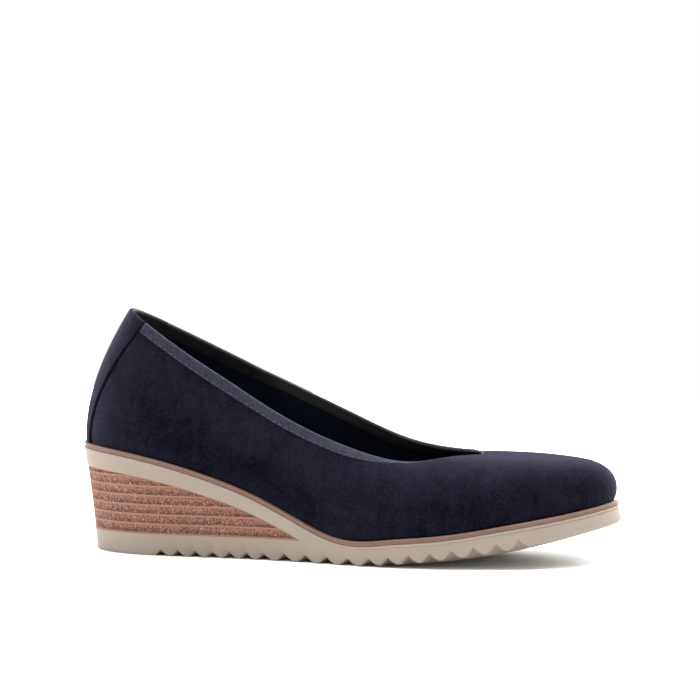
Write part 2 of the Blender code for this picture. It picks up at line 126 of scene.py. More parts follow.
# Soft creases of the suede, each from one place to another: along the feather line and up the wall,
# with its half width and its height, where a trough is below zero. The heights also tint the suede,
# partly as nap and partly as painted shade in troughs and painted highlight on ridges, most on the toe
# ridge.
Crease = namedtuple("Crease", "name from_along from_up to_along to_up width height")
CREASES = [
    Crease("heel crease", 26.0, 0.58, 58.0, 0.32, 4.5, -0.50),
    Crease("quarter hollow", 58.0, 0.30, 130.0, 0.20, 8.0, -0.55),
    Crease("quarter ridge", 36.0, 0.76, 100.0, 0.58, 8.0, 0.35),
    Crease("waist ridge", 112.0, 0.66, 164.0, 0.44, 9.0, 0.35),
    Crease("vamp trough", 166.0, 0.30, 198.0, 0.22, 6.5, -0.45),
    Crease("vamp ridge", 172.0, 0.62, 222.0, 0.52, 8.0, 0.30),
    Crease("toe dip", 220.0, 0.20, 252.0, 0.20, 6.0, -0.40),
    Crease("toe ridge", 240.0, 0.54, 276.0, 0.40, 11.0, 0.60),
    Crease("inner vamp trough", 374.0, 0.30, 342.0, 0.22, 6.5, -0.45),
    Crease("inner waist ridge", 430.0, 0.66, 378.0, 0.44, 9.0, 0.35),
    Crease("inner quarter hollow", 484.0, 0.30, 412.0, 0.20, 8.0, -0.55),
]

# Finishes with a fine grain: colour, the colour that an attribute of the piece turns it into, gloss,
# roughness and how far it varies, scales of mottle and pores, darkest tone, strength and depth of relief
Grain = namedtuple("Grain", "body other attribute gloss roughness vary mottle pore darkest strength depth")
GRAINS = {
    "Lining": Grain("lining", None, None, 0.05, 0.8, 0.06, 90.0, 1400.0, 0.6, 0.4, 0.2),
    "Sock": Grain("sock", None, None, 0.08, 0.8, 0.06, 90.0, 1300.0, 0.6, 0.4, 0.2),
    # Inner band: the colour it turns into at its edge is a painted highlight along the fold's crest
    "Inner band": Grain("band", "band_edge", "edge", 0.1, 0.6, 0.0, 90.0, 1100.0, 0.6, 0.4, 0.2),
    # Rand: its upper half is painted darker than its lower half, as shade under the upper's overhang
    "Rand": Grain("rand", "rand_low", "lower", 0.25, 0.6, 0.0, 70.0, 1500.0, 0.88, 0.25, 0.15),
    "Rubber": Grain("rubber", None, None, 0.3, 0.62, 0.06, 38.0, 1900.0, 0.93, 0.18, 0.12),
}

# Soft lights of the studio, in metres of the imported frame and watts
Light = namedtuple("Light", "name place target width height power")
LIGHTS = [
    Light("top", (0.05, 0.3, 1.3), (0.0, 0.0, 0.05), 1.6, 1.0, 66.0),
    Light("heel side", (-1.2, -0.35, 0.8), (-0.05, 0.0, 0.05), 0.8, 0.8, 20.0),
    Light("back", (0.4, 1.2, 0.6), (0.04, 0.0, 0.02), 1.6, 0.6, 30.0),
    Light("toe side", (0.8, 0.35, 1.1), (0.1, 0.0, 0.03), 0.8, 0.8, 12.0),
]


def length(name, default, description):
    """A length in metres."""
    return FloatProperty(
        name=name, description=description, default=default, min=0.0, precision=5, unit="LENGTH")


def tint(name, default, description):
    """A colour in linear light."""
    return FloatVectorProperty(name=name, description=description, default=default, subtype="COLOR")


class PumpSizes(bpy.types.PropertyGroup):
    """Sizes of the visible pieces."""

    clearance: length("Clearance", 0.0003, "Room between the packed solids")
    wall: length("Wall", 0.002, "Thickness of suede and lining together")
    suede: length("Suede", 0.0011, "Thickness of the suede alone")
    rim: length(
        "Rim", 0.0010, "Thickness of suede and lining together at the topline, where they are pared")
    fold_clearance: length("Fold clearance", 0.00015, "Room between the wall and what is folded over it")
    fold_rise: length("Fold rise", 0.0008, "Height of a fold over the topline")
    binding: length("Binding", 0.0005, "Thickness of the topline binding")
    binding_outside: length("Binding outside", 0.0038, "Width of the binding outside the shoe")
    binding_inside: length("Binding inside", 0.005, "Width of the binding inside the shoe")
    stitch: length("Stitch", 0.0030, "Length of one stitch and the gap after it")
    strip: length("Back strip", 0.0005, "Thickness of the back strip")
    strip_clearance: length("Back strip clearance", 0.0004, "Room between the wall and the back strip")
    strip_inside: length("Back strip inside", 0.009, "How far the back strip runs down inside the shoe")
    strip_half_top: length("Back strip half width", 0.022, "Half the back strip's width at the topline")
    strip_half_foot: length("Back strip half foot", 0.0165, "Half the back strip's width at the rand")
    rand: length("Rand", 0.0019, "Height of the rand")
    rand_overhang: length("Rand overhang", 0.0017, "How far the rand stands out from the upper")
    rand_inside: length("Rand inside", 0.0018, "How far the rand reaches in under the upper")
    sole_overhang: length("Sole overhang", 0.00185, "How far the sole's lip stands out from the upper")
    lip: length("Lip", 0.0011, "Height of the lip along the sole's top edge")
    lip_step: length("Lip step", 0.00025, "How far the lip stands out from the sole's side")
    toe_spring: length("Toe spring", 0.0175, "Height of the sole's underside at the toe")
    toe_spring_start: length("Toe spring start", 0.136, "Where the underside leaves the floor")
    edge_lift: length(
        "Edge lift", 0.0016, "How far the notched edge stands over the underside before the toe")
    notch_reach: length("Notch reach", 0.008, "How far the notches run in under the sole")
    sole_length: length("Sole length", 0.245, "Length of the sole from heel to toe")
    slot_floor: length("Slot floor", 0.0096, "Height of the floor of the wedge's slot")
    band_heel: length("Band at heel", 0.0081, "Height of the band over the wedge at the heel")
    band_tip: length("Band at tip", 0.0063, "Height of the band at the wedge's tip")
    band_tip_place: length("Band tip place", 0.1, "How far the wedge's tip is from the heel's back")
    wedge_base: length("Wedge base", 0.0009, "Height of the strip under the wedge's lowest layer")
    wedge_layer: length("Wedge layer", 0.00425, "Height of one layer of the wedge")
    wedge_recess: length("Wedge recess", 0.00035, "How far the wedge lies behind the sole's side")
    wedge_ledge: length("Wedge ledge", 0.0001, "Depth of the ledge on top of each layer")
    insole_inside: length("Insole inside", 0.00205, "How far the insole lies inside the feather line")
    insole_rise: length("Insole rise", 0.0012, "Height of the insole's top over the rand's top")
    upper_columns: IntProperty(
        name="Upper columns", description="Columns of faces round the upper", default=400, min=40)
    upper_rows: IntProperty(
        name="Upper rows", description="Rows of faces up the upper", default=64, min=8)


class PumpColours(bpy.types.PropertyGroup):
    """Colours of the finishes, as linear light."""

    # The suede runs from its flat colour to its brushed colour by its nap, and by its creases partly as
    # painted shade and painted highlight
    suede: tint("Suede", (0.0011, 0.0010, 0.0026), "Navy suede where its nap lies flat")
    suede_light: tint(
        "Suede, brushed", (0.0080, 0.0077, 0.0131), "Navy suede where its nap is brushed up")
    binding: tint("Binding", (0.0305, 0.0311, 0.0455), "Topline binding outside")
    band: tint("Inner band", (0.0058, 0.0053, 0.0066), "Topline binding inside")
    # Painted highlight along the crest where the binding turns over the topline
    band_edge: tint("Inner band's edge", (0.0270, 0.0225, 0.0240), "Topline binding where it turns in")
    lining: tint("Lining", (0.0028, 0.0054, 0.0115), "Lining of the upper")
    sock: tint("Sock", (0.0020, 0.0028, 0.0062), "Sock on the insole")
    # The upper half's darker colour is painted shade under the upper's overhang
    rand: tint("Rand", (0.1300, 0.0760, 0.0560), "Brown rand, on its upper half")
    rand_low: tint("Rand, lower half", (0.1600, 0.0890, 0.0635), "Brown rand, on its lower half")
    rubber: tint("Rubber", (0.2150, 0.1780, 0.1440), "Beige sole")
    cork: tint("Cork", (0.1820, 0.0865, 0.0560), "Wedge between its ledges")
    cork_dark: tint("Dark cork", (0.0620, 0.0255, 0.0175), "Dark specks of the wedge")
    cork_light: tint("Light cork", (0.3050, 0.1620, 0.1060), "Light flecks of the wedge")
    # Painted highlight colour along the tops of the wedge's layers
    ledge: tint("Ledge", (0.2400, 0.1130, 0.0710), "Edges of the wedge's layers")
    thread: tint("Thread", (0.0460, 0.0475, 0.0640), "Stitches along the binding")
    floor: tint("Floor", (0.7400, 0.7400, 0.7400), "Studio floor")


def size(name):
    """One of the sizes, in millimetres."""
    return getattr(bpy.context.scene.pump_sizes, name) / MM


def colour(name):
    """One of the colours, with its alpha."""
    return (*getattr(bpy.context.scene.pump_colours, name), 1.0)


def smooth_step(share):
    """Smooth step from 0 to 1 as a share goes from 0 to 1."""
    share = np.clip(share, 0.0, 1.0)
    return share * share * (3.0 - 2.0 * share)


def table_columns(rows, *names):
    """The named columns of a table as an array, one line for each row."""
    return np.array([[getattr(row, name) for name in names] for row in rows])


def spline(knots, values, at, period=None):
    """Cubic spline through the values at the knots, natural at its ends or closed over a period."""
    if period:
        knots = np.concatenate([knots - period, knots, knots + period])
        values = np.concatenate([values, values, values])
        at = np.mod(at, period)
    gap = np.diff(knots)
    slope = np.diff(values, axis=0) / gap[:, None]
    count = len(knots)
    system = np.eye(count)
    right = np.zeros_like(values)
    for i in range(1, count - 1):
        system[i, i - 1:i + 2] = gap[i - 1], 2.0 * (gap[i - 1] + gap[i]), gap[i]
        right[i] = 6.0 * (slope[i] - slope[i - 1])
    bend = np.linalg.solve(system, right)
    i = np.clip(np.searchsorted(knots, at) - 1, 0, count - 2)
    left = ((knots[i + 1] - at) / gap[i])[:, None]
    share = 1.0 - left
    straight = left * values[i] + share * values[i + 1]
    curved = (left ** 3 - left) * bend[i] + (share ** 3 - share) * bend[i + 1]
    return straight + curved * gap[i][:, None] ** 2 / 6.0


SEAT = table_columns(SECTIONS, "seat_x", "seat_y")
CHORDS = np.linalg.norm(np.roll(SEAT, -1, axis=0) - SEAT, axis=1)
STATIONS = np.concatenate([[0.0], np.cumsum(CHORDS)[:-1]])
PERIMETER = CHORDS.sum()


def around(u, *names):
    """Columns of the section table, smoothed round the foot, at distances u along the feather line."""
    return spline(STATIONS, table_columns(SECTIONS, *names), np.asarray(u, dtype=float), PERIMETER)


def rand_top(x):
    """Height of the rand's top along the foot."""
    knots = table_columns(PITCH, "x")[:, 0]
    return spline(knots, table_columns(PITCH, "rand_top"), np.asarray(x, dtype=float))[:, 0]


def sole_top(x):
    """Height of the sole's top, under the rand."""
    return rand_top(x) - size("rand") - size("clearance")


def toe_share(x):
    """How far along the toe spring a place is, from 0 to 1."""
    start = size("toe_spring_start")
    return np.clip((x - start) / (size("sole_length") - start), 0.0, None)


def toe_spring(x):
    """Height of the sole's underside: flat under heel and ball, then rising to the toe."""
    curve = 1.9
    return size("toe_spring") * toe_share(x) ** curve


def unit(vectors):
    """Rows of vectors scaled to length 1."""
    return vectors / np.linalg.norm(vectors, axis=1, keepdims=True)


def outwards(u):
    """Plan direction that points out of the feather line."""
    step = 0.5
    run = around(u + step, "seat_x", "seat_y") - around(u - step, "seat_x", "seat_y")
    return unit(np.stack([run[:, 1], -run[:, 0]], axis=1))


def outline(u, offset):
    """Feather line in plan, moved outwards by an offset."""
    offset = np.broadcast_to(offset, np.shape(u))
    return around(u, "seat_x", "seat_y") + outwards(u) * offset[:, None]


def wall(u, v):
    """Outer face of the upper, from the feather line at v = 0 to the topline at v = 1."""
    plan = outline(u, 0.0)
    seat = np.column_stack([plan, rand_top(plan[:, 0]) + size("clearance")])
    rim = around(u, "rim_x", "rim_y", "rim_z")
    bulge, rise, reach, drop = around(u, "bulge", "rise", "reach", "drop").T
    low = seat + np.column_stack([outwards(u) * bulge[:, None], rise])
    high = rim + np.column_stack([unit(plan - rim[:, :2]) * reach[:, None], -drop])
    v = v[:, None]
    w = 1.0 - v
    return w ** 3 * seat + 3.0 * w * w * v * low + 3.0 * w * v * v * high + v ** 3 * rim


def off_wall(u, v, lift, raised=0.0):
    """Points lifted off the wall's outer face and raised along its run, for arrays of one shape."""
    u, v, lift, raised = np.broadcast_arrays(u, v, lift, raised)
    shape = u.shape
    u, v = u.ravel(), v.ravel()
    along, up = 0.5, 0.01
    across = wall(u + along, v) - wall(u - along, v)
    upward = wall(u, v + up) - wall(u, v - up)
    lifted = unit(np.cross(across, upward)) * lift.ravel()[:, None]
    points = wall(u, v) + lifted + unit(upward) * raised.ravel()[:, None]
    return points.reshape(*shape, 3)


def below_topline(u, distance):
    """Places up the wall that lie a distance below the topline, measured along the wall."""
    shares = np.linspace(0.0, 1.0, 65)
    columns = np.repeat(u, len(shares))
    curve = wall(columns, np.tile(1.0 - shares, len(u))).reshape(len(u), len(shares), 3)
    run = np.cumsum(np.linalg.norm(np.diff(curve, axis=1), axis=2), axis=1)
    run = np.column_stack([np.zeros(len(u)), run])
    distances = np.broadcast_to(distance, len(u))
    return np.array([1.0 - np.interp(away, line, shares) for away, line in zip(distances, run)])


def pared(v, full, rim):
    """Depth of a face inside the wall, which is pared down from its full depth to the rim's."""
    pared_from = 0.84
    return rim + (full - rim) * smooth_step((1.0 - v) / (1.0 - pared_from))


def even_columns(count):
    """Places round the feather line, closer together where it turns."""
    turn_weight = 25.0
    u = np.linspace(0.0, PERIMETER, 1201)
    heading = np.unwrap(np.arctan2(*outwards(u).T[::-1]))
    measure = u + turn_weight * np.concatenate([[0.0], np.cumsum(np.abs(np.diff(heading)))])
    return np.interp(np.linspace(0.0, measure[-1], count + 1), measure, u)


def in_frame(points):
    """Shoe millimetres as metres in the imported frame."""
    return (points - SHOE_ORIGIN) * MM


def sheet(points):
    """A grid drawn onto an array of points (columns, rows, 3), joined where its ends meet.

    Its UV map is in metres."""
    meeting = 1e-7
    columns, rows = points.shape[:2]
    mesh = bmesh.new()
    layer = mesh.loops.layers.uv.new("UVMap")
    bmesh.ops.create_grid(mesh, x_segments=columns - 1, y_segments=rows - 1, size=1.0, calc_uvs=True)
    places = in_frame(points).transpose(1, 0, 2).reshape(-1, 3)
    for vertex, place in zip(mesh.verts, places):
        vertex.co = place
    run = np.linalg.norm(np.diff(points[:, rows // 2], axis=0), axis=1).sum() * MM
    width = np.linalg.norm(np.diff(points[columns // 2], axis=0), axis=1).sum() * MM
    for face in mesh.faces:
        for loop in face.loops:
            loop[layer].uv = (loop[layer].uv.x * run, loop[layer].uv.y * width)
    bmesh.ops.remove_doubles(mesh, verts=mesh.verts, dist=meeting)
    return mesh


def ring(points):
    """Closed tube round the foot, through an array of points (columns, rows, 3)."""
    points[-1] = points[0]
    mesh = sheet(points)
    bmesh.ops.recalc_face_normals(mesh, faces=mesh.faces)
    return mesh


def close_ends(mesh):
    """Fills the open ends of a sheet that is rolled into a tube."""
    bmesh.ops.holes_fill(mesh, edges=[edge for edge in mesh.edges if edge.is_boundary])
    bmesh.ops.recalc_face_normals(mesh, faces=mesh.faces)
    return mesh


def smooth_shading(data, angle):
    """Smooth shading that stays crisp at edges sharper than an angle in degrees."""
    data.shade_smooth()
    data.set_sharp_from_angle(angle=math.radians(angle))


def add_piece(name, mesh, finishes, slot, *nodes):
    """A visible piece that moves with the shoe and stands for the nodes named."""
    data = bpy.data.meshes.new(name)
    mesh.to_mesh(data)
    mesh.free()
    for finish in finishes:
        data.materials.append(finish)
    smooth_shading(data, angle=40.0)
    piece = bpy.data.objects.new(name, data)
    bpy.context.scene.collection.objects.link(piece)
    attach(piece, "root")
    if nodes:
        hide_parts(*nodes)
    return piece


def shoe_places(piece):
    """Vertices of a piece in shoe millimetres."""
    return np.array([vertex.co for vertex in piece.data.vertices]) / MM + SHOE_ORIGIN


def store(piece, name, values):
    """Keeps one number for each vertex of a piece, for its finish to read."""
    layer = piece.data.attributes.new(name, "FLOAT", "POINT")
    layer.data.foreach_set("value", np.ascontiguousarray(values, dtype=np.float32))


def thicken(piece, thickness):
    """Gives a sheet its thickness outwards, in millimetres, and rounds its cut edges."""
    edge, outwards_only = 0.18, 1.0
    solid = piece.modifiers.new("thickness", "SOLIDIFY")
    solid.thickness = thickness * MM
    solid.offset = outwards_only
    bevel = piece.modifiers.new("edge", "BEVEL")
    bevel.width = edge * MM
    bevel.segments = 2
    bevel.limit_method = "ANGLE"
    bevel.angle_limit = math.radians(50.0)


def cut(piece, profile, operation):
    """Cuts a piece with a side profile of (x, z) points, or keeps only what lies inside it."""
    mesh = bmesh.new()
    beside = 60.0
    places = in_frame(np.array([(x, -beside, z) for x, z in profile]))
    face = mesh.faces.new([mesh.verts.new(place) for place in places])
    grown = bmesh.ops.extrude_face_region(mesh, geom=[face])
    moved = [item for item in grown["geom"] if isinstance(item, bmesh.types.BMVert)]
    bmesh.ops.translate(mesh, verts=moved, vec=(0.0, 2.0 * beside * MM, 0.0))
    bmesh.ops.recalc_face_normals(mesh, faces=mesh.faces)
    data = bpy.data.meshes.new("cutter")
    mesh.to_mesh(data)
    mesh.free()
    cutter = bpy.data.objects.new("cutter", data)
    bpy.context.scene.collection.objects.link(cutter)
    boolean = piece.modifiers.new("cut", "BOOLEAN")
    boolean.operation = operation
    boolean.solver = "EXACT"
    boolean.object = cutter
    graph = bpy.context.evaluated_depsgraph_get()
    made = bpy.data.meshes.new_from_object(piece.evaluated_get(graph))
    piece.modifiers.clear()
    piece.data = made
    bpy.data.objects.remove(cutter)
    bpy.data.meshes.remove(data)


def node(tree, kind, sockets, **settings):
    """A shader node with its settings, whose sockets take a value or another node's output."""
    made = tree.nodes.new("ShaderNode" + kind)
    for name, value in settings.items():
        setattr(made, name, value)
    for name, value in sockets.items():
        if isinstance(value, bpy.types.NodeSocket):
            tree.links.new(value, made.inputs[name])
        else:
            made.inputs[name].default_value = value
    return made


def maths(tree, operation, first, second=0.0, third=0.0):
    """Output of a Math node."""
    made = node(tree, "Math", {0: first, 1: second, 2: third}, operation=operation)
    return made.outputs["Value"]


def vector_maths(tree, operation, first, second, third=(0.0, 0.0, 0.0)):
    """Output of a Vector Math node."""
    made = node(tree, "VectorMath", {0: first, 1: second, 2: third}, operation=operation)
    return made.outputs["Vector"]


def attribute(tree, name):
    """A number that a piece keeps for each vertex."""
    return node(tree, "Attribute", {}, attribute_name=name).outputs["Fac"]


def mix(tree, factor, first, second):
    """Colour output of a Mix node."""
    made = node(tree, "Mix", {0: factor, 6: first, 7: second}, data_type="RGBA")
    return made.outputs[2]


def spread(tree, value, low, high, to_low=0.0, to_high=1.0):
    """A value stretched smoothly from one range to another."""
    made = node(tree, "MapRange", {
        "Value": value, "From Min": low, "From Max": high, "To Min": to_low, "To Max": to_high,
    }, interpolation_type="SMOOTHSTEP")
    return made.outputs["Result"]


def noise(tree, vector, scale, detail=2.0, roughness=0.55):
    """Noise over a vector, as a value from 0 to 1."""
    made = node(tree, "TexNoise", {
        "Vector": vector, "Scale": scale, "Detail": detail, "Roughness": roughness,
    })
    return made.outputs["Fac"]


def new_group(name, inputs, outputs):
    """A shader node group with float inputs and their defaults, and its outputs by name."""
    tree = bpy.data.node_groups.new(name, "ShaderNodeTree")
    tree.interface.new_socket("Vector", in_out="INPUT", socket_type="NodeSocketVector")
    for title, value in inputs.items():
        socket = tree.interface.new_socket(title, in_out="INPUT", socket_type="NodeSocketFloat")
        socket.default_value = value
    for title in outputs:
        tree.interface.new_socket(title, in_out="OUTPUT", socket_type="NodeSocketFloat")
    return tree, tree.nodes.new("NodeGroupInput").outputs, tree.nodes.new("NodeGroupOutput").inputs


def nap_group():
    """Short nap: soft patches where it is brushed up, and the fibres themselves."""
    if "Nap" in bpy.data.node_groups:
        return bpy.data.node_groups["Nap"]
    tree, given, result = new_group("Nap", {"Patch": 45.0, "Fibre": 2600.0}, ("Tone", "Height"))
    warp = node(tree, "TexNoise", {"Vector": given["Vector"], "Scale": 90.0, "Detail": 2.0})
    warped_by, brushed_by = (0.008, 0.008, 0.008), (1.0, 1.0, 0.45)
    bent = vector_maths(tree, "MULTIPLY_ADD", warp.outputs["Color"], warped_by, given["Vector"])
    brushed = vector_maths(tree, "MULTIPLY", bent, brushed_by)
    patches = noise(tree, bent, given["Patch"], 3.0, 0.6)
    smudges = noise(tree, brushed, maths(tree, "MULTIPLY", given["Patch"], 6.0), 3.0, 0.6)
    tufts = noise(tree, given["Vector"], maths(tree, "MULTIPLY", given["Fibre"], 0.4), 2.0, 0.65)
    fibres = noise(tree, given["Vector"], given["Fibre"], 3.0, 0.65)
    broad = spread(tree, patches, 0.33, 0.70)
    middle = spread(tree, smudges, 0.30, 0.72)
    fine = maths(tree, "MULTIPLY", spread(tree, tufts, 0.30, 0.70), 0.65)
    fine = maths(tree, "MULTIPLY_ADD", spread(tree, fibres, 0.25, 0.75), 0.35, fine)
    tone = maths(tree, "MULTIPLY_ADD", middle, 0.30, maths(tree, "MULTIPLY", broad, 0.30))
    tone = maths(tree, "MULTIPLY_ADD", fine, 0.80, maths(tree, "SUBTRACT", tone, 0.20))
    tree.links.new(maths(tree, "MINIMUM", maths(tree, "MAXIMUM", tone, 0.0), 1.0), result["Tone"])
    tree.links.new(fine, result["Height"])
    return tree


def grain_group():
    """Fine grain of rubber, leather and coated cloth: a mottled tone and tiny pores."""
    if "Grain" in bpy.data.node_groups:
        return bpy.data.node_groups["Grain"]
    tree, given, result = new_group("Grain", {"Mottle": 40.0, "Pore": 1600.0}, ("Tone", "Height"))
    mottle = noise(tree, given["Vector"], given["Mottle"], 4.0, 0.6)
    pores = noise(tree, given["Vector"], given["Pore"], 2.0, 0.5)
    tree.links.new(spread(tree, mottle, 0.3, 0.7), result["Tone"])
    tree.links.new(pores, result["Height"])
    return tree


def place_group(tree, group, vector, **values):
    """A node group placed in a material with its own values."""
    made = tree.nodes.new("ShaderNodeGroup")
    made.node_tree = group
    tree.links.new(vector, made.inputs["Vector"])
    for name, value in values.items():
        made.inputs[name].default_value = value
    return made.outputs


def new_finish(name, roughness, **fixed):
    """A material with its tree, its shader and the piece's own coordinates."""
    finish = bpy.data.materials.new(name)
    finish.use_nodes = True
    tree = finish.node_tree
    shader = tree.nodes["Principled BSDF"]
    shader.inputs["Roughness"].default_value = roughness
    for title, value in fixed.items():
        shader.inputs[title.replace("_", " ")].default_value = value
    return finish, tree, shader, node(tree, "TexCoord", {}).outputs["Object"]


def bump(tree, shader, height, strength, distance):
    """Relief of a finish, its distance in millimetres."""
    made = node(tree, "Bump", {"Height": height, "Strength": strength, "Distance": distance * MM})
    tree.links.new(made.outputs["Normal"], shader.inputs["Normal"])


def paint(tree, shader, tone, body, darkest):
    """Base colour from a darker shade of a body colour, where the tone is 0, to the body colour."""
    dark = mix(tree, darkest, BLACK, body)
    tree.links.new(mix(tree, tone, dark, body), shader.inputs["Base Color"])


def suede_finish():
    """Navy suede with a short nap; its creases tint it, partly as nap and partly as painted shade in
    troughs and painted highlight on ridges.
    """
    if "Suede" in bpy.data.materials:
        return bpy.data.materials["Suede"]
    finish, tree, shader, place = new_finish(
        "Suede", roughness=0.95, Sheen_Weight=0.10, Sheen_Roughness=0.45,
        Sheen_Tint=(0.74, 0.74, 1.0, 1.0), Specular_IOR_Level=0.0)
    nap = place_group(tree, nap_group(), place, Patch=45.0, Fibre=2600.0)
    crease_nap_and_light_share, dull, soft = 0.3, 0.98, 0.88
    # Crease height tints the tone: partly nap, partly painted shade in troughs and painted highlight on
    # ridges
    tone = maths(tree, "MULTIPLY_ADD", attribute(tree, "crease"), crease_nap_and_light_share, nap["Tone"])
    tone = maths(tree, "MINIMUM", maths(tree, "MAXIMUM", tone, 0.0), 1.0)
    tree.links.new(mix(tree, tone, colour("suede"), colour("suede_light")), shader.inputs["Base Color"])
    tree.links.new(spread(tree, tone, 0.0, 1.0, dull, soft), shader.inputs["Roughness"])
    bump(tree, shader, nap["Height"], strength=0.6, distance=0.3)
    return finish


def binding_finish():
    """Binding outside: a tape of fine ribs along its run, with a short nap."""
    finish, tree, shader, place = new_finish(
        "Binding", roughness=0.9, Sheen_Weight=0.14, Sheen_Roughness=0.35,
        Sheen_Tint=(0.75, 0.78, 1.0, 1.0), Specular_IOR_Level=0.05)
    nap = place_group(tree, nap_group(), place, Patch=110.0, Fibre=2600.0)
    flat = node(tree, "TexCoord", {}).outputs["UV"]
    rib_scale, rib_share, nap_share = (400.0, 2600.0, 1.0), 0.45, 0.55
    along = vector_maths(tree, "MULTIPLY", flat, rib_scale)
    ribs = spread(tree, noise(tree, along, 1.0, 2.0, 0.6), 0.3, 0.7)
    tone = maths(tree, "MULTIPLY_ADD", ribs, rib_share, maths(tree, "MULTIPLY", nap["Tone"], nap_share))
    paint(tree, shader, tone, colour("binding"), darkest=0.35)
    bump(tree, shader, tone, strength=0.7, distance=0.35)
    return finish


def grained_finish(name):
    """Finish of lining, sock, inner band, rand or rubber, from the table of grains."""
    if name in bpy.data.materials:
        return bpy.data.materials[name]
    look = GRAINS[name]
    finish, tree, shader, place = new_finish(name, look.roughness, Specular_IOR_Level=look.gloss)
    grain = place_group(tree, grain_group(), place, Mottle=look.mottle, Pore=look.pore)
    body = colour(look.body)
    if look.attribute:
        body = mix(tree, attribute(tree, look.attribute), body, colour(look.other))
    paint(tree, shader, grain["Tone"], body, look.darkest)
    dull, shiny = look.roughness + look.vary, look.roughness - look.vary
    tree.links.new(spread(tree, grain["Height"], 0.3, 0.7, dull, shiny), shader.inputs["Roughness"])
    bump(tree, shader, grain["Height"], look.strength, look.depth)
    return finish


def cork_finish():
    """Stacked wedge: granular cork, with a painted highlight on top of each layer and along the wedge's
    top, and painted shade towards each layer's foot.
    """
    finish, tree, shader, place = new_finish("Cork", roughness=0.8, Specular_IOR_Level=0.25)
    height = node(tree, "SeparateXYZ", {"Vector": place}).outputs["Z"]
    layer = maths(tree, "SUBTRACT", height, (size("slot_floor") + size("wedge_base")) * MM)
    waver = 0.3
    uneven = maths(tree, "MULTIPLY_ADD", noise(tree, place, 420.0, 2.0), waver * MM, layer)
    layer = maths(tree, "FRACT", maths(tree, "DIVIDE", uneven, size("wedge_layer") * MM))
    grains = node(tree, "TexVoronoi", {"Vector": place, "Scale": 1300.0, "Randomness": 1.0})
    crumbs = noise(tree, place, 1000.0, 3.0, 0.7)
    flecks = noise(tree, place, 1350.0, 2.0, 0.5)
    shadow = spread(tree, layer, 0.0, 0.6, 0.14, 0.0)
    body = mix(tree, spread(tree, maths(tree, "SUBTRACT", crumbs, shadow), 0.33, 0.60),
               colour("cork_dark"), colour("cork"))
    body = mix(tree, spread(tree, flecks, 0.58, 0.68), body, colour("cork_light"))
    # Painted highlight along each layer's top, and along the wedge's top where the border is kept
    ledge = spread(tree, layer, 0.70, 0.90, 0.0, 0.85)
    ledge = maths(tree, "MAXIMUM", ledge, attribute(tree, "border"))
    tree.links.new(mix(tree, ledge, body, colour("ledge")), shader.inputs["Base Color"])
    relief = maths(tree, "MULTIPLY_ADD", grains.outputs["Distance"], 0.5, crumbs)
    relief = maths(tree, "MULTIPLY", relief, maths(tree, "SUBTRACT", 1.0, ledge))
    bump(tree, shader, relief, strength=0.9, distance=0.5)
    return finish


def thread_finish():
    """Dyed yarn with a soft mottle."""
    finish, tree, shader, place = new_finish("Thread", roughness=0.75, Specular_IOR_Level=0.25)
    paint(tree, shader, noise(tree, place, 1500.0), colour("thread"), darkest=0.7)
    return finish


def strip_edge(v):
    """Half the back strip's width at a height up the wall, as a distance along the feather line."""
    top, foot = size("strip_half_top"), size("strip_half_foot")
    half = top + (foot - top) * (1.0 - v) ** 2
    beside = 5.0
    span = np.array([-beside, beside])
    run = [np.linalg.norm(np.diff(wall(span, np.full(2, height)), axis=0)) for height in np.ravel(v)]
    return half * np.ptp(span) / np.reshape(run, np.shape(v))


def crease_relief(points):
    """Height of the suede's soft creases at points of the wall."""
    relief = np.zeros(points.shape[:-1])
    for crease in CREASES:
        steps = np.linspace(0.0, 1.0, 11)
        line_u = crease.from_along + (crease.to_along - crease.from_along) * steps
        line_v = crease.from_up + (crease.to_up - crease.from_up) * steps
        line = wall(line_u, line_v)
        away = np.min(np.linalg.norm(points[..., None, :] - line, axis=-1), axis=-1)
        relief += crease.height * np.exp(-(away / crease.width) ** 2)
    return relief


def seam_relief(u, v):
    """Groove in the suede beside the back strip, and its tuck at the rand."""
    edge = strip_edge(v[0])
    from_back = np.minimum(u, PERIMETER - u)
    away = from_back - edge[None, :]
    groove_depth, groove_middle, groove_half = 0.65, 0.45, 0.48
    tuck_depth, tuck_top = 0.45, 0.05
    groove = groove_depth * np.exp(-((away - groove_middle) / groove_half) ** 4)
    tuck = tuck_depth * np.clip(1.0 - v / tuck_top, 0.0, 1.0) ** 2
    return -groove - tuck


def shell(outer, inner):
    """Closed wall between two faces that run from the feather line to the topline, all round the foot."""
    return ring(np.concatenate([outer, inner[:, ::-1], outer[:, :1]], axis=1))


def fold_rows(u, lift_outside, legs_inside):
    """Rows of a strip as it turns over the topline and runs down inside the shoe."""
    lift_inside, rise = -size("rim") - size("fold_clearance"), size("fold_rise")
    top = np.ones(len(u))
    rows = []
    for angle in np.radians(np.linspace(0.0, 180.0, FOLD_STEPS + 1)):
        lift = (lift_outside + lift_inside) / 2.0 + (lift_outside - lift_inside) / 2.0 * np.cos(angle)
        rows.append(off_wall(u, top, lift, rise * np.sin(angle)))
    for distance in legs_inside:
        places = below_topline(u, distance)
        rows.append(off_wall(u, places, -pared(places, size("wall"), size("rim")) - size("fold_clearance")))
    return rows


def plan_sides(offset_at, shares):
    """Outer and inner edge of a plan outline at shares of its length, from heel to toe."""
    u = np.linspace(0.0, PERIMETER, 4800, endpoint=False)
    plan = outline(u, offset_at(u))
    plan = np.roll(plan, -np.argmin(plan[:, 0]), axis=0)
    toe = np.argmax(plan[:, 0])
    outer = plan[:toe + 1]
    inner = np.concatenate([plan[toe:], plan[:1]])[::-1]
    x = plan[0, 0] + (plan[toe, 0] - plan[0, 0]) * shares
    return x, np.interp(x, *outer.T), np.interp(x, *inner.T)


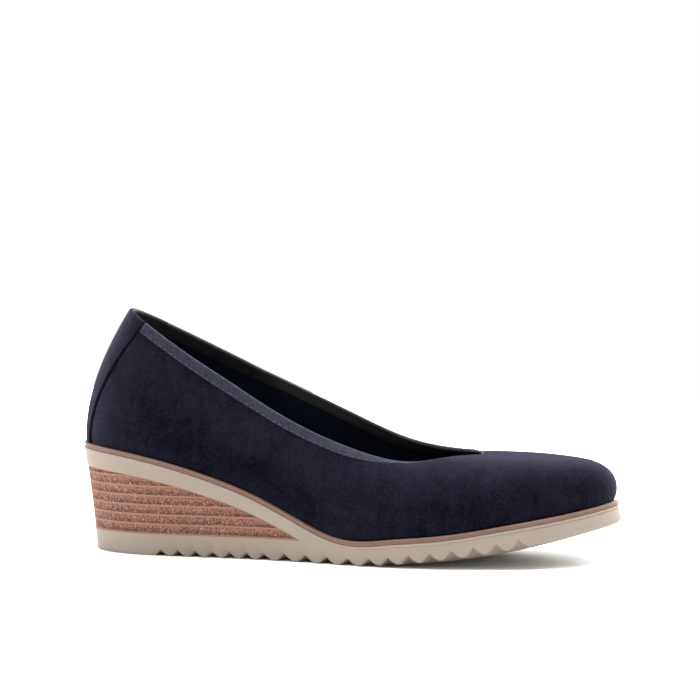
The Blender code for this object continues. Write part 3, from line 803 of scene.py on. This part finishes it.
def loft(levels, shares):
    """Solid through cross sections from heel to toe.

    Each level, from the bottom up, gives its plan offset round the foot and its height along it."""
    outer, inner = [], []
    for offset_at, height_at in levels:
        x, y_outer, y_inner = plan_sides(offset_at, shares)
        outer.append(np.column_stack([x, y_outer, height_at(x)]))
        inner.append(np.column_stack([x, y_inner, height_at(x)]))
    rows = outer + inner[::-1] + outer[:1]
    return close_ends(sheet(np.stack(rows, axis=1)))


def end_shares(step):
    """Shares of the sole's length that close up towards its round ends."""
    ends, whole = 34.0, size("sole_length")
    turn = ends * (1.0 - np.cos(np.radians(np.linspace(0.0, 90.0, 37))))
    middle = np.arange(ends + step, whole - ends, step)
    return np.concatenate([turn, middle, whole - turn[::-1]]) / whole


def edge_profile(column):
    """A column of the tooth table along the whole sole, rounded off: places and values."""
    tops = np.concatenate([zone.first + zone.pitch * np.arange(zone.count) for zone in TREAD])
    depths = np.concatenate([np.linspace(zone.first_depth, zone.last_depth, zone.count) for zone in TREAD])
    pitches = np.append(np.diff(tops), TREAD[-1].pitch)
    rest = TOOTH[2]
    scale = depths if column == "depth" else np.ones(len(depths))
    first = tops[0] - TREAD[0].pitch * (1.0 - TOOTH[-2].along)
    knots = [(first, getattr(rest, column))]
    for top, depth, pitch in zip(tops, scale, pitches):
        knots += [(top + tooth.along * pitch, getattr(tooth, column) * depth) for tooth in TOOTH]
    knots[-1] = (knots[-1][0], getattr(rest, column))
    past_toe, step, softness, reach = 260.0, 0.1, 4.0, 12
    x = np.arange(0.0, past_toe, step)
    values = np.interp(x, *np.array(knots).T)
    kernel = np.exp(-(np.arange(-reach, reach + 1) / softness) ** 2)
    padded = np.pad(values, reach, mode="edge")
    return x, np.convolve(padded, kernel / kernel.sum(), mode="valid")


def wall_offset(u, drop):
    """Plan offset of the sole's side at a drop below its top, leaning by the section's draft."""
    return size("sole_overhang") - size("lip_step") - around(u, "draft")[:, 0] * drop


def floor_offset(u):
    """Plan offset of the sole's side where it would meet the underside."""
    x = around(u, "seat_x")[:, 0]
    return wall_offset(u, sole_top(x) - toe_spring(x))


def band_bottom(x):
    """Underside of the sole's upper band, which covers the wedge."""
    share = np.clip(x / size("band_tip_place"), 0.0, 1.0)
    return sole_top(x) - size("band_heel") - (size("band_tip") - size("band_heel")) * share


def wedge_profile(inset, tip_height):
    """Side profile of the wedge's slot, drawn in by an inset and cut off where it gets thin."""
    behind, past_tip = -15.0, 14.0
    x = np.linspace(0.0, size("band_tip_place") + past_tip, 121)
    low = size("slot_floor") + inset
    tip = np.interp(-low - tip_height, inset - band_bottom(x), x) - inset
    top = np.append(np.linspace(tip, 0.0, 40), behind)
    return [(behind, low), (tip, low)] + list(zip(top, band_bottom(np.maximum(top, 0.0)) - inset))


class PUMP_OT_upper(bpy.types.Operator):
    """Suede upper and its lining"""

    bl_idname = "pump.upper"
    bl_label = "Upper"

    def execute(self, context):
        sizes = context.scene.pump_sizes
        even = even_columns(sizes.upper_columns)
        seam_from, seam_to, foot, lining_top, least_lining, glue = 14.0, 31.0, -0.008, 0.995, 0.2, 0.05
        beside_strip = np.linspace(seam_from, seam_to, 69)
        columns = np.unique(np.concatenate([even, beside_strip, PERIMETER - beside_strip]))
        rows = np.linspace(foot, 1.0, sizes.upper_rows + 1)
        u, v = np.meshgrid(columns, rows, indexing="ij")
        relief = crease_relief(off_wall(u, v, 0.0)) + seam_relief(u, v)
        depth = pared(v, size("suede"), size("rim") / 2.0)
        back = np.maximum(relief - depth, least_lining - pared(v, size("wall"), size("rim")))
        mesh = shell(off_wall(u, v, relief), off_wall(u, v, back)[:, ::2])
        upper = add_piece("upper_suede", mesh, [suede_finish()], "suede", "upper")
        # Crease heights, which the suede's finish paints partly as shade in troughs and as highlight on
        # ridges
        store(upper, "crease", crease_relief(shoe_places(upper)))
        inner = np.linspace(0.0, lining_top, sizes.upper_rows // 2 + 1)
        u, v = np.meshgrid(even[::2], inner, indexing="ij")
        front = off_wall(u, v, -pared(v, size("suede"), size("rim") / 2.0) - glue)
        mesh = shell(front, off_wall(u, v, -pared(v, size("wall"), size("rim"))))
        add_piece("lining", mesh, [grained_finish("Lining")], "sock")
        return {"FINISHED"}


class PUMP_OT_binding(bpy.types.Operator):
    """Binding folded over the topline, and its stitches"""

    bl_idname = "pump.binding"
    bl_label = "Topline binding"

    def execute(self, context):
        beside_strip = float(strip_edge(np.ones(1))[0])
        outer_gap, inner_gap, sink, hem_drop, hem_from = 0.85, 0.3, 0.02, 0.3, 0.7
        start, end = beside_strip + outer_gap, PERIMETER - beside_strip - inner_gap
        columns = np.linspace(start, end, 520)
        throat = self.throat(columns)
        width = self.width_outside(columns)
        lift_outside = size("fold_clearance") * (1.0 - throat) - (size("binding") + sink) * throat
        rows = []
        outer_shares = (1.0, 0.93, 0.84, 0.72, 0.58, 0.42, 0.22)
        inner_shares = (0.16, 0.32, 0.48, 0.64, 0.8, 0.92, 1.0)
        for share in outer_shares:
            hem = hem_drop * np.clip((share - hem_from) / (1.0 - hem_from), 0.0, 1.0) ** 2
            rows.append(off_wall(columns, below_topline(columns, share * width), lift_outside - hem))
        outside = len(rows)
        crest = outside + FOLD_STEPS // 2
        legs = [share * self.width_inside(columns) for share in inner_shares]
        rows += fold_rows(columns, lift_outside, legs)
        mesh = sheet(np.stack(rows, axis=1))
        for index, face in enumerate(mesh.faces):
            row, column = divmod(index, len(columns) - 1)
            outer_side = column < len(columns) // 2
            face.material_index = int(row > (crest if outer_side else outside - 1))
        finishes = [binding_finish(), grained_finish("Inner band")]
        binding = add_piece("binding_tape", mesh, finishes, "binding", "topline_binding")
        # Painted highlight on the inner band: full up to the fold's crest, fading down the inner leg, gone
        # at the throat
        past_crest = np.arange(len(rows)) - crest
        fall_off = 1.5
        crest_highlight_fade = np.clip(1.0 - past_crest / FOLD_STEPS, 0.0, 1.0) ** fall_off
        store(binding, "edge", np.outer(crest_highlight_fade, 1.0 - throat).ravel())
        thicken(binding, size("binding"))
        self.add_stitches(start, end)
        return {"FINISHED"}

    def throat(self, u):
        """How far a place belongs to the throat, where the binding's outer leg runs out: 0 to 1."""
        outer_reach, outer_run, inner_reach, inner_run = 132.0, 58.0, 66.0, 40.0
        outer_side = u < PERIMETER / 2.0
        reach = np.where(outer_side, outer_reach, inner_reach)
        return self.near_middle(u, reach, np.where(outer_side, outer_run, inner_run))

    def near_middle(self, u, reach, run):
        """Smooth step from 0 at a reach from the topline's foremost place to 1 after a run."""
        return smooth_step((reach - np.abs(u - PERIMETER / 2.0)) / run)

    def width_inside(self, u):
        """Width of the binding's inner leg, which grows towards the throat."""
        growth, reach, run = 0.8, 145.0, 60.0
        return size("binding_inside") * (1.0 + growth * self.near_middle(u, reach, run))

    def width_outside(self, u):
        """Width of the binding's outer leg, which grows away from the heel and runs out at the throat."""
        heel_share, growth, grows_from, grows_over, least = 0.86, 0.24, 40.0, 70.0, 0.2
        from_back = np.minimum(u, PERIMETER - u)
        full = heel_share + growth * np.clip((from_back - grows_from) / grows_over, 0.0, 1.0)
        return size("binding_outside") * full * (1.0 - self.throat(u)) + least

    def add_stitches(self, start, end):
        """Stitches along the binding's lower edge."""
        inset, end_gap, thick, sunk, ahead_by = 0.4, 2.0, 0.18, 0.18, 0.6
        half_share, last_throat = 0.38, 0.7
        u = np.linspace(start + end_gap, end - end_gap, 1600)
        v = below_topline(u, self.width_outside(u) - inset)
        line = off_wall(u, v, size("fold_clearance") + size("binding") - sunk)
        run = np.concatenate([[0.0], np.cumsum(np.linalg.norm(np.diff(line, axis=0), axis=1))])
        count = int(run[-1] / size("stitch"))
        places = (np.arange(count) + 0.5) * run[-1] / count
        places = places[self.throat(np.interp(places, run, u)) < last_throat]
        centre = np.column_stack([np.interp(places, run, line[:, axis]) for axis in range(3)])
        ahead = np.column_stack([np.interp(places + ahead_by, run, line[:, axis]) for axis in range(3)])
        mesh = bmesh.new()
        for place, front in zip(in_frame(centre), in_frame(ahead)):
            turn = Vector(front - place).to_track_quat("X", "Z").to_matrix().to_4x4()
            scale = Matrix.Diagonal((half_share * size("stitch") * MM, thick * MM, thick * MM, 1.0))
            bmesh.ops.create_uvsphere(mesh, u_segments=8, v_segments=6, radius=1.0,
                                      matrix=Matrix.Translation(place) @ turn @ scale)
        add_piece("binding_stitches", mesh, [thread_finish()], "binding")


class PUMP_OT_back_strip(bpy.types.Operator):
    """Suede strip down the heel's back"""

    bl_idname = "pump.back_strip"
    bl_label = "Back strip"

    def execute(self, context):
        turn = math.radians(86.4)
        across = np.sin(np.linspace(-turn, turn, 61)) / math.sin(turn)
        rows = []
        for v in np.linspace(0.0, 1.0, 60)[:-1]:
            edge = float(strip_edge(np.array([v]))[0])
            columns = edge * across
            rows.append(off_wall(columns, np.full(len(columns), v), size("strip_clearance")))
        crest = len(rows) + FOLD_STEPS // 2
        top = float(strip_edge(np.ones(1))[0]) * across
        legs = np.linspace(1.0, size("strip_inside"), 9)
        rows += fold_rows(top, size("strip_clearance"), legs)
        mesh = sheet(np.stack(rows, axis=1))
        for index, face in enumerate(mesh.faces):
            face.material_index = int(index // (len(across) - 1) > crest)
        finishes = [suede_finish(), grained_finish("Inner band")]
        strip = add_piece("back_strip_suede", mesh, finishes, "suede", "back_strip")
        thicken(strip, size("strip"))
        return {"FINISHED"}


class PUMP_OT_rand(bpy.types.Operator):
    """Rand between the upper and the sole"""

    bl_idname = "pump.rand"
    bl_label = "Rand"

    def execute(self, context):
        columns = even_columns(420)
        height, overhang, inside = size("rand"), size("rand_overhang"), size("rand_inside")
        foot, step, roundness, lobe_share = 0.25, 0.2, 0.45, 0.94
        section = [(-inside, -height - foot)]
        for up in np.linspace(-1.0, 0.0, 21):
            lower = float(up < -0.5)
            across_half = 4.0 * (up + 0.5 + 0.5 * lower) - 1.0
            lobe = math.sqrt(1.0 - lobe_share * across_half ** 2)
            section.append((overhang - step * lower - roundness * (1.0 - lobe), height * up))
        section[1] = (section[1][0], -height - foot)
        section += [(-inside, 0.0), section[0]]
        base = rand_top(outline(columns, 0.0)[:, 0])
        rings = [np.column_stack([outline(columns, out), base + up]) for out, up in section]
        mesh = ring(np.stack(rings, axis=1))
        rand = add_piece("rand_strip", mesh, [grained_finish("Rand")], "rand", "rand")
        # Lower half of the rand; the upper half keeps the darker colour painted as shade under the upper
        places, blend = shoe_places(rand), 0.3
        over_middle = places[:, 2] - rand_top(places[:, 0]) + 0.5 * height
        store(rand, "lower", np.clip(0.5 - over_middle / blend, 0.0, 1.0))
        return {"FINISHED"}


class PUMP_OT_sole(bpy.types.Operator):
    """Beige rubber sole with its lip, notched edge and the slot for the wedge"""

    bl_idname = "pump.sole"
    bl_label = "Sole"

    def execute(self, context):
        places, depths = edge_profile("depth")
        rolls = edge_profile("roll")[1]

        def notch(x):
            """Height of the notched edge over the underside."""
            share = np.clip(toe_share(x), 0.0, 1.0)
            lift = size("edge_lift") * 4.0 * share * (1.0 - share)
            return lift + np.interp(x, places, depths)

        def roll(x):
            """How far the lower edge is rounded."""
            toe_from, toe_run, toe_roll = 222.0, 18.0, 1.4
            heel_run, heel_roll = 9.0, 0.3
            toe = np.clip((x - toe_from) / toe_run, 0.0, 1.0)
            heel = np.clip(1.0 - x / heel_run, 0.0, 1.0)
            return np.interp(x, places, rolls) + toe_roll * toe * toe + heel_roll * heel * heel

        def foot(inwards, up):
            """A row on the rounded lower edge, as shares of the rounding."""
            return (lambda u: floor_offset(u) - inwards * roll(around(u, "seat_x")[:, 0]),
                    lambda x: toe_spring(x) + notch(x) + up * roll(x))

        def under(share):
            """A row of the notches' floors, from the smooth middle at 0 to the rounded edge at 1."""
            reach = size("notch_reach")
            return (lambda u: floor_offset(u) - reach + share * (reach - roll(around(u, "seat_x")[:, 0])),
                    lambda x: toe_spring(x) + share * notch(x))

        def side(drop):
            """A row of the sole's side at a share of its height below the lip."""
            def offset(u):
                x = around(u, "seat_x")[:, 0]
                return wall_offset(u, size("lip") + drop * (sole_top(x) - toe_spring(x) - size("lip")))

            def height(x):
                low = toe_spring(x) + notch(x) + roll(x)
                high = sole_top(x) - size("lip") - size("lip_step")
                return high + drop * (low - high)
            return offset, height

        def lip(out, down):
            """A row of the lip at an offset from the sole's side and a drop from its top."""
            reach = size("sole_overhang") - size("lip_step")
            return (lambda u: np.full(len(u), reach + out * size("lip_step")), lambda x: sole_top(x) - down)

        lip_foot = size("lip")
        lip_rows = [(-0.2, lip_foot + 0.12), (0.8, lip_foot - 0.02), (1.0, lip_foot - 0.15)]
        lip_rows += [(1.0, 0.28), (0.6, 0.06), (-1.2, 0.0)]
        turns = np.radians((0.0, 22.5, 45.0, 67.5, 90.0))
        levels = [under(share) for share in (0.0, 0.35, 0.7)]
        levels += [foot(1.0 - math.sin(turn), 1.0 - math.cos(turn)) for turn in turns]
        levels += [side(drop) for drop in (0.8, 0.6, 0.4, 0.2, 0.06, 0.0)]
        levels += [lip(out, down) for out, down in lip_rows]
        mesh = loft(levels, end_shares(step=0.75))
        sole = add_piece("sole_rubber", mesh, [grained_finish("Rubber")], "sole_rubber", "sole_unit")
        cut(sole, wedge_profile(inset=0.0, tip_height=0.3), "DIFFERENCE")
        smooth_shading(sole.data, angle=32.0)
        return {"FINISHED"}


class PUMP_OT_wedge(bpy.types.Operator):
    """Stacked wedge in the sole's slot"""

    bl_idname = "pump.wedge"
    bl_label = "Wedge heel"

    def execute(self, context):
        past = 14.0
        u = np.linspace(STATIONS[INNER_INSTEP] - PERIMETER, STATIONS[OUTER_INSTEP] + past, 240)
        top = sole_top(around(u, "seat_x")[:, 0])
        layer_height = size("wedge_layer")
        start = size("slot_floor") + size("wedge_base") - layer_height
        layers = int(np.ceil((band_bottom(np.zeros(1))[0] - start) / layer_height))
        # One layer's face: how far up the layer, and how far behind its ledge, as shares
        face = ((0.0, 1.0), (0.06, 0.92), (0.2, 0.72), (0.4, 0.46), (0.6, 0.26), (0.78, 0.1))
        face += ((0.88, 0.0), (0.97, 0.0), (1.0, 0.12))
        rings = []
        for layer in range(layers):
            for up, recess in face:
                height = start + (layer + up) * layer_height
                inset = size("wedge_recess") + recess * size("wedge_ledge")
                plan = outline(u, wall_offset(u, top - height) - inset)
                plan = np.concatenate([plan, plan[:1]])
                rings.append(np.column_stack([plan, np.full(len(plan), height)]))
        stack = close_ends(sheet(np.stack(rings, axis=1)))
        wedge = add_piece("wedge_stack", stack, [cork_finish()], "stack", "wedge_heel")
        cut(wedge, wedge_profile(inset=0.04, tip_height=0.12), "INTERSECT")
        smooth_shading(wedge.data, angle=32.0)
        places = shoe_places(wedge)
        # Band along the wedge's top that takes the ledges' painted highlight colour
        bright, full_to, fades_over = 0.8, 0.2, 0.4
        from_band = band_bottom(np.maximum(places[:, 0], 0.0)) - places[:, 2]
        store(wedge, "border", bright * np.clip(1.0 - (from_band - full_to) / fades_over, 0.0, 1.0))
        return {"FINISHED"}


class PUMP_OT_insole(bpy.types.Operator):
    """Insole with its sock"""

    bl_idname = "pump.insole"
    bl_label = "Insole"

    def execute(self, context):
        inside, rise = size("insole_inside"), size("insole_rise")

        def level(inwards, up):
            """A row at a distance in from the insole's edge and a height over the rand's top."""
            return (lambda u: np.full(len(u), -inside - inwards), lambda x: rand_top(x) + up)

        section = [(0.0, -size("rand")), (0.0, rise - 0.9), (0.12, rise - 0.5), (0.4, rise - 0.2)]
        section += [(0.9, rise), (3.0, rise + 0.05), (9.0, rise - 0.25)]
        levels = [level(inwards, up) for inwards, up in section]
        mesh = loft(levels, end_shares(step=1.5))
        add_piece("insole_sock", mesh, [grained_finish("Sock")], "sock", "insole")
        return {"FINISHED"}


class PUMP_OT_stage(bpy.types.Operator):
    """Studio floor, lights and camera"""

    bl_idname = "pump.stage"
    bl_label = "Stage"

    def execute(self, context):
        scene = context.scene
        mesh = bmesh.new()
        bmesh.ops.create_grid(mesh, x_segments=1, y_segments=1, size=0.75)
        data = bpy.data.meshes.new("studio_floor")
        mesh.to_mesh(data)
        mesh.free()
        finish, tree, shader, place = new_finish("Floor", roughness=0.9, Specular_IOR_Level=0.1)
        paint(tree, shader, noise(tree, place, 2.0), colour("floor"), darkest=0.985)
        data.materials.append(finish)
        floor = bpy.data.objects.new("studio_floor", data)
        scene.collection.objects.link(floor)
        world = bpy.data.worlds.new("studio")
        world.use_nodes = True
        background = world.node_tree.nodes["Background"]
        background.inputs["Color"].default_value = WHITE
        background.inputs["Strength"].default_value = 1.0
        scene.world = world
        scene.view_settings.view_transform = "Standard"
        for light in LIGHTS:
            self.add_light(light)
        self.add_camera(scene)
        return {"FINISHED"}

    def add_light(self, light):
        """A soft rectangular light that points at its target."""
        data = bpy.data.lights.new(light.name, "AREA")
        data.shape = "RECTANGLE"
        data.size, data.size_y = light.width, light.height
        data.energy = light.power
        lamp = bpy.data.objects.new(light.name, data)
        lamp.location = light.place
        aim = Vector(light.target) - Vector(light.place)
        lamp.rotation_euler = aim.to_track_quat("-Z", "Y").to_euler()
        bpy.context.scene.collection.objects.link(lamp)

    def add_camera(self, scene):
        """Camera at the photograph's angle."""
        azimuth, elevation, distance = math.radians(15.0), math.radians(6.0), 1.6
        target = Vector(in_frame(np.array([124.5, 0.0, 52.5])))
        pixels, target_x, target_y, focal = 700.0, 352.0, 437.0, 3584.0
        turn = Euler((math.pi / 2.0 - elevation, 0.0, azimuth))
        data = bpy.data.cameras.new("camera")
        data.sensor_width = 36.0
        data.lens = focal * data.sensor_width / pixels
        data.shift_x = (pixels / 2.0 - target_x) / pixels
        data.shift_y = (target_y - pixels / 2.0) / pixels
        camera = bpy.data.objects.new("camera", data)
        place = target + turn.to_matrix() @ Vector((0.0, 0.0, distance))
        camera.matrix_world = Matrix.LocRotScale(place, turn, None)
        scene.collection.objects.link(camera)
        scene.camera = camera


class PUMP_PT_panel(bpy.types.Panel):
    """Pieces of the pump, with their sizes and colours"""

    bl_idname = "PUMP_PT_panel"
    bl_label = "Wedge pump"
    bl_space_type = "VIEW_3D"
    bl_region_type = "UI"
    bl_category = "Pump"

    def draw(self, context):
        for operator in OPERATORS:
            self.layout.operator(operator.bl_idname)
        for group in (context.scene.pump_sizes, context.scene.pump_colours):
            box = self.layout.box()
            for name in group.__annotations__:
                box.prop(group, name)


OPERATORS = (
    PUMP_OT_stage,
    PUMP_OT_upper,
    PUMP_OT_binding,
    PUMP_OT_back_strip,
    PUMP_OT_rand,
    PUMP_OT_sole,
    PUMP_OT_wedge,
    PUMP_OT_insole,
)
CLASSES = (PumpSizes, PumpColours, *OPERATORS, PUMP_PT_panel)


def register():
    for made in CLASSES:
        bpy.utils.register_class(made)
    bpy.types.Scene.pump_sizes = PointerProperty(type=PumpSizes)
    bpy.types.Scene.pump_colours = PointerProperty(type=PumpColours)


def unregister():
    del bpy.types.Scene.pump_sizes
    del bpy.types.Scene.pump_colours
    for made in reversed(CLASSES):
        bpy.utils.unregister_class(made)


def main():
    register()
    bpy.ops.pump.stage()
    bpy.ops.pump.upper()
    bpy.ops.pump.binding()
    bpy.ops.pump.back_strip()
    bpy.ops.pump.rand()
    bpy.ops.pump.sole()
    bpy.ops.pump.wedge()
    bpy.ops.pump.insole()


if __name__ == "__main__":
    main()
